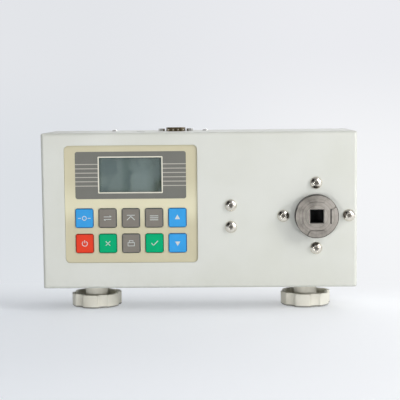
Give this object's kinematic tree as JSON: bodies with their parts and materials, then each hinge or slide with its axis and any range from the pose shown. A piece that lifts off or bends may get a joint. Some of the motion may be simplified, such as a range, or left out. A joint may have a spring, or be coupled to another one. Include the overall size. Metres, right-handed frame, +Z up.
{
  "type": "torque tester",
  "caption": "Bench torque tester: folded steel box with a keypad and display in its front panel, a square-drive torque head and turnable star-shaped hand-knob feet.",
  "frame": {"origin": "centre of the overall box in x and y, on the bench at z = 0", "axes": "+X to the right seen from the front, +Y from the front panel to the back, +Z up"},
  "size_m": [0.27, 0.094, 0.1589],
  "materials": {
    "case_paint": "satin",
    "knob_plastic": "matte",
    "keypad_film": "matte",
    "keypad_plastic": "matte",
    "clear_window": "gloss",
    "display_glass": "gloss",
    "key_blue": "satin",
    "key_grey": "satin",
    "key_red": "satin",
    "key_green": "satin",
    "turned_steel": "turned",
    "bare_steel": "satin",
    "black_steel": "satin",
    "zinc_steel": "satin",
    "yellow_zinc": "satin",
    "aluminium": "machined",
    "rubber": "matte",
    "black_plastic": "matte",
    "circuit_board": "satin",
    "gauge_foil": "satin",
    "battery_wrap": "gloss",
    "grey_cable": "matte"
  },
  "bodies": {
    "case": {"front_case": "case_paint", "rear_cover": "case_paint", "rear_cover_screws": "zinc_steel", "rear_bumpers": "rubber", "keypad_plate": "keypad_plastic", "keypad_overlay": "keypad_film", "plate_nuts": "zinc_steel", "display_window": "clear_window", "lcd_glass": "display_glass", "lcd_frame": "bare_steel", "lcd_board": "circuit_board", "key_board": "circuit_board", "key_switches": "black_plastic", "board_screws": "zinc_steel", "bearing_housing": "aluminium", "head_screws": "zinc_steel", "outer_races": "bare_steel", "bearing_balls": "bare_steel", "outer_spacer": "aluminium", "housing_circlip": "bare_steel", "load_cell": "aluminium", "load_cell_block": "aluminium", "load_cell_screws": "zinc_steel", "load_cell_bolts": "black_steel", "strain_gauges": "gauge_foil", "main_board": "circuit_board", "board_components": "black_plastic", "board_bracket": "bare_steel", "bracket_screws": "zinc_steel", "ribbon_cable": "grey_cable", "serial_shell": "yellow_zinc", "serial_insert": "black_plastic", "jack_screws": "zinc_steel", "power_inlet": "black_plastic", "battery_pack": "battery_wrap", "battery_strap": "bare_steel", "strap_screws": "zinc_steel", "foot_nuts": "zinc_steel"},
    "torque_shaft": {"torque_head": "turned_steel", "inner_races": "bare_steel", "inner_spacer": "aluminium", "shaft_nut": "bare_steel", "lever_arm": "aluminium", "lever_clamp_screw": "black_steel"},
    "key_top_1_body": {"key_top_1": "key_blue"},
    "key_top_2_body": {"key_top_2": "key_grey"},
    "key_top_3_body": {"key_top_3": "key_grey"},
    "key_top_4_body": {"key_top_4": "key_grey"},
    "key_top_5_body": {"key_top_5": "key_blue"},
    "key_bottom_1_body": {"key_bottom_1": "key_red"},
    "key_bottom_2_body": {"key_bottom_2": "key_green"},
    "key_bottom_3_body": {"key_bottom_3": "key_grey"},
    "key_bottom_4_body": {"key_bottom_4": "key_green"},
    "key_bottom_5_body": {"key_bottom_5": "key_blue"},
    "left_pad": {"left_foot_pad": "rubber"},
    "left_knob": {"left_foot_knob": "knob_plastic", "left_foot_stud": "zinc_steel"},
    "right_pad": {"right_foot_pad": "rubber"},
    "right_knob": {"right_foot_knob": "knob_plastic", "right_foot_stud": "zinc_steel"}
  },
  "joints": [
    {"name": "torque_head_twist", "type": "hinge", "parent": "case", "child": "torque_shaft", "pos_m": [0.1, 0, 0.0836], "axis": [0, -1, 0], "range_deg": [-0.3, 0.3], "stiffness_Nm_per_rad": 955},
    {"name": "key_top_1_press", "type": "slide", "parent": "case", "child": "key_top_1_body", "axis": [0, 1, 0], "range_m": [0, 0.0006], "stiffness_N_per_m": 2500},
    {"name": "key_top_2_press", "type": "slide", "parent": "case", "child": "key_top_2_body", "axis": [0, 1, 0], "range_m": [0, 0.0006], "stiffness_N_per_m": 2500},
    {"name": "key_top_3_press", "type": "slide", "parent": "case", "child": "key_top_3_body", "axis": [0, 1, 0], "range_m": [0, 0.0006], "stiffness_N_per_m": 2500},
    {"name": "key_top_4_press", "type": "slide", "parent": "case", "child": "key_top_4_body", "axis": [0, 1, 0], "range_m": [0, 0.0006], "stiffness_N_per_m": 2500},
    {"name": "key_top_5_press", "type": "slide", "parent": "case", "child": "key_top_5_body", "axis": [0, 1, 0], "range_m": [0, 0.0006], "stiffness_N_per_m": 2500},
    {"name": "key_bottom_1_press", "type": "slide", "parent": "case", "child": "key_bottom_1_body", "axis": [0, 1, 0], "range_m": [0, 0.0006], "stiffness_N_per_m": 2500},
    {"name": "key_bottom_2_press", "type": "slide", "parent": "case", "child": "key_bottom_2_body", "axis": [0, 1, 0], "range_m": [0, 0.0006], "stiffness_N_per_m": 2500},
    {"name": "key_bottom_3_press", "type": "slide", "parent": "case", "child": "key_bottom_3_body", "axis": [0, 1, 0], "range_m": [0, 0.0006], "stiffness_N_per_m": 2500},
    {"name": "key_bottom_4_press", "type": "slide", "parent": "case", "child": "key_bottom_4_body", "axis": [0, 1, 0], "range_m": [0, 0.0006], "stiffness_N_per_m": 2500},
    {"name": "key_bottom_5_press", "type": "slide", "parent": "case", "child": "key_bottom_5_body", "axis": [0, 1, 0], "range_m": [0, 0.0006], "stiffness_N_per_m": 2500},
    {"name": "left_foot_lift", "type": "slide", "parent": "case", "child": "left_pad", "axis": [0, 0, -1], "range_m": [0, 0.005]},
    {"name": "left_foot_turn", "type": "hinge", "parent": "left_pad", "child": "left_knob", "pos_m": [-0.0935, 0.003, 0], "axis": [0, 0, -1], "range_deg": [0, 1440]},
    {"name": "right_foot_lift", "type": "slide", "parent": "case", "child": "right_pad", "axis": [0, 0, -1], "range_m": [0, 0.005]},
    {"name": "right_foot_turn", "type": "hinge", "parent": "right_pad", "child": "right_knob", "pos_m": [0.0935, 0.003, 0], "axis": [0, 0, -1], "range_deg": [0, 1440]}
  ],
  "couplings": [
    {"joint": "left_foot_lift", "follows": "left_foot_turn", "m_per_rad": 0.00019894},
    {"joint": "right_foot_lift", "follows": "right_foot_turn", "m_per_rad": 0.00019894}
  ]
}
